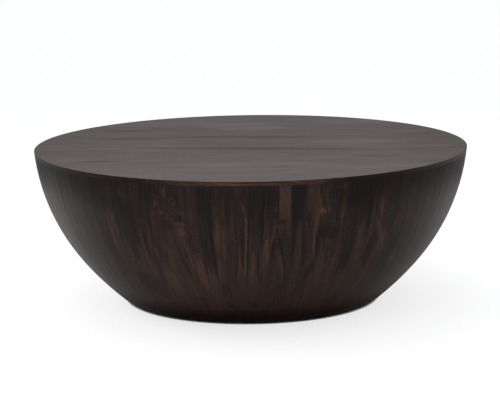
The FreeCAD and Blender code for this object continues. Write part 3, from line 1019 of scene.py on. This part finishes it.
def cross_recess(tree, given, screw):
    """Sinks a tapered cross in the screw's head."""
    long, short = given["Recess Reach"] * 2.0, given["Recess Width"]
    depth = given["Recess Depth"]
    bars = []
    for across, along in ((long, short), (short, long)):
        bar = tree.add("GeometryNodeMeshCube", Size=tree.place(across, along, depth * 2.0))
        x, y, z = tree.add("GeometryNodeInputPosition").parts()
        taper = z.rise(depth * -1.0, depth, 1.15, 0.25, soft=False)
        bars.append(tree.moved_to(bar, x * taper, y * taper, z - given["Head Height"]))
    return tree.add("GeometryNodeMeshBoolean", operation="DIFFERENCE", solver="EXACT", Mesh_1=screw,
                    Mesh_2=bars)


def screw_profile():
    """The screw's half section, head down, from the middle of the head to the point."""
    points = [(screw_head / 2 * reach, -screw_head_height * rise, 0, 0) for reach, rise in dome_shares]
    points += [(screw_neck, 0, 0, 0), (screw_neck, thread_start - thread_pitch / 2, 0, 0)]
    rows = round((thread_end - thread_start) / thread_pitch * rows_per_pitch)
    for row in range(rows + 1):
        height = thread_start + (thread_end - thread_start) * row / rows
        points.append((screw_root, height, height / thread_pitch, screw_hole / 2 - screw_root))
    points += [(screw_root * 0.7, (thread_end + screw_length) / 2, 0, 0), (0, screw_length, 0, 0)]
    return wire_mesh("screw_profile", dict(zip(lathe_columns, zip(*points))))


def zinc_plating():
    """Bright zinc with a fine mottle."""
    finish = Finish("zinc plating")
    mottle = noise(finish.own_place(), 3.0, scale=1400.0)
    colour = coloured(mottle, ((0.3, (0.46, 0.47, 0.50)), (0.7, (0.63, 0.63, 0.61))))
    finish.give(Base_Color=colour, Roughness=mottle.rise(0.3, 0.7, 0.28, 0.48), Metallic=1.0)
    finish.relief(mottle, strength=0.3, distance=0.00005)
    return finish.material


lathe = turned_group()
rule = lathe_rule("Screws round the ring", screw_sizes, cross_recess)
piece = made_by_rule("ring_screws_steel", screw_profile(), rule, screw_sizes, zinc_plating())
piece.data.shade_smooth()
piece.data.set_sharp_from_angle(angle=screw_crisp_angle)
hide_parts("ring_screws")
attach(piece, "root")


# The glides: six round pads of pressed felt, stuck under the feet of the staves so that the heavy bowl slides
# without marking a floor. They are punched from a sheet, so their edges are slightly rounded and furry.
glide_radius, glide_height, glide_round = 0.0125, 0.003, 0.0007
glide_sizes = {"Steps": 40, "Count": 6, "Circle": 0.3165, "First Turn": -math.pi / 2, "Height": 0.0}
felt_stops = ((0.3, (0.020, 0.015, 0.012)), (0.55, (0.060, 0.045, 0.036)), (0.8, (0.16, 0.13, 0.11)))


def glide_profile():
    """The pad's half section, from the middle of its underside round its edge to the middle of its top."""
    flat = glide_radius - glide_round
    corner = [(flat + glide_round * math.sin(turn), glide_round * (1 - math.cos(turn)))
              for turn in (math.radians(step) for step in (0, 22.5, 45, 67.5, 90))]
    under = [(0, 0), (flat * 0.5, 0), *corner]
    over = [(reach, glide_height - height) for reach, height in reversed(under)]
    points = [(reach, height, 0, 0) for reach, height in under + over]
    return wire_mesh("glide_profile", dict(zip(lathe_columns, zip(*points))))


def pressed_felt():
    """Dark brown felt: matted fibres with a soft nap."""
    finish = Finish("pressed felt")
    place = finish.own_place()
    fibres = noise(place, 5.0, 0.7, 900.0, Distortion=1.5)
    tone = fibres * 0.7 + noise(place, 2.0, scale=130.0) * 0.3
    finish.give(Base_Color=coloured(tone, felt_stops), Roughness=fibres.rise(0.3, 0.7, 0.98, 0.86),
                Sheen_Weight=0.25, Specular_IOR_Level=0.1)
    finish.relief(tone, strength=0.8, distance=0.0004)
    return finish.material


rule = lathe_rule("Pads under the bowl", glide_sizes)
piece = made_by_rule("floor_glides_felt", glide_profile(), rule, glide_sizes, pressed_felt())
piece.data.shade_smooth()
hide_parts("floor_glides")
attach(piece, "root")


# The studio: a pale floor, one large soft lamp overhead and an even white surround. Two small lamps brighten
# the floor beside the bowl, which the lacquer mirrors, and the floor glows white to the camera except under
# the table. A long lens looks from a little above the height of the table.
floor_half = 40.0
floor_glow = 0.7
glow_start, glow_full = foot_radius - 0.001, foot_radius + 0.004
surround_colour = (0.95, 0.97, 1.0, 1)


def floor_material():
    finish = Finish("studio floor")
    finish.nodes.nodes.remove(finish.nodes.nodes["Principled BSDF"])
    rays = finish.add("ShaderNodeLightPath")
    seen = rays["Is Camera Ray"].maths("MAXIMUM", rays["Is Glossy Ray"])
    seen = seen.maths("MAXIMUM", rays["Is Transmission Ray"])
    matt = finish.add("ShaderNodeBsdfDiffuse", Color=finish.mixed(seen, 0.85, 1.0, "FLOAT"))
    glow = finish.add("ShaderNodeEmission", Color=(1, 1, 1, 1), Strength=1.0)
    open_floor = finish.own_place().maths("LENGTH").rise(glow_start, glow_full, 0.0, floor_glow)
    mixed = finish.add("ShaderNodeMixShader", rays["Is Camera Ray"] * open_floor, matt, glow)
    finish.feed(finish.nodes.nodes["Material Output"].inputs["Surface"], mixed)
    return finish.material


floor_mesh = bpy.data.meshes.new("studio_floor")
floor_mesh.from_pydata([(-floor_half, -floor_half, 0), (floor_half, -floor_half, 0),
                        (floor_half, floor_half, 0), (-floor_half, floor_half, 0)], [], [(0, 1, 2, 3)])
floor = bpy.data.objects.new("studio_floor", floor_mesh)
bpy.context.scene.collection.objects.link(floor)
floor_mesh.materials.append(floor_material())

world = bpy.data.worlds.new("white surround")
bpy.context.scene.world = world
world.use_nodes = True
background = world.node_tree.nodes["Background"].inputs
background["Color"].default_value = surround_colour
background["Strength"].default_value = 1.0


def soft_lamp(name, place, target, size, power):
    """A square soft box that faces one point."""
    lamp = bpy.data.lights.new(name, "AREA")
    lamp.size = size
    lamp.energy = power
    holder = bpy.data.objects.new(name, lamp)
    bpy.context.scene.collection.objects.link(holder)
    holder.location = place
    holder.rotation_euler = (Vector(target) - Vector(place)).to_track_quat("-Z", "Y").to_euler()


soft_lamp("overhead soft box", (0, -0.4, 3.2), (0, 0, 0.3), 2.6, 14)
soft_lamp("floor light at the left", (-1.55, 0.15, 0.9), (-0.98, -0.08, 0), 0.7, 14)
soft_lamp("floor light at the right", (2.1, 0.8, 0.9), (1.0, 0.15, 0), 1.2, 17)

camera = bpy.data.cameras.new("long lens")
camera.sensor_width = 36
camera.lens = 145
camera_distance, camera_rise = 5.346, math.radians(8.82)
camera_drop, camera_roll, camera_pan = math.radians(10.387), math.radians(-0.75), math.radians(0.034)
holder = bpy.data.objects.new("long lens", camera)
bpy.context.scene.collection.objects.link(holder)
holder.location = (0, -camera_distance * math.cos(camera_rise),
                   table_height + camera_distance * math.sin(camera_rise))
aim = Matrix.Rotation(camera_pan, 3, "Z") @ Matrix.Rotation(math.pi / 2 - camera_drop, 3, "X")
holder.rotation_euler = (aim @ Matrix.Rotation(camera_roll, 3, "Z")).to_euler()
bpy.context.scene.camera = holder
bpy.context.scene.view_settings.view_transform = "Standard"
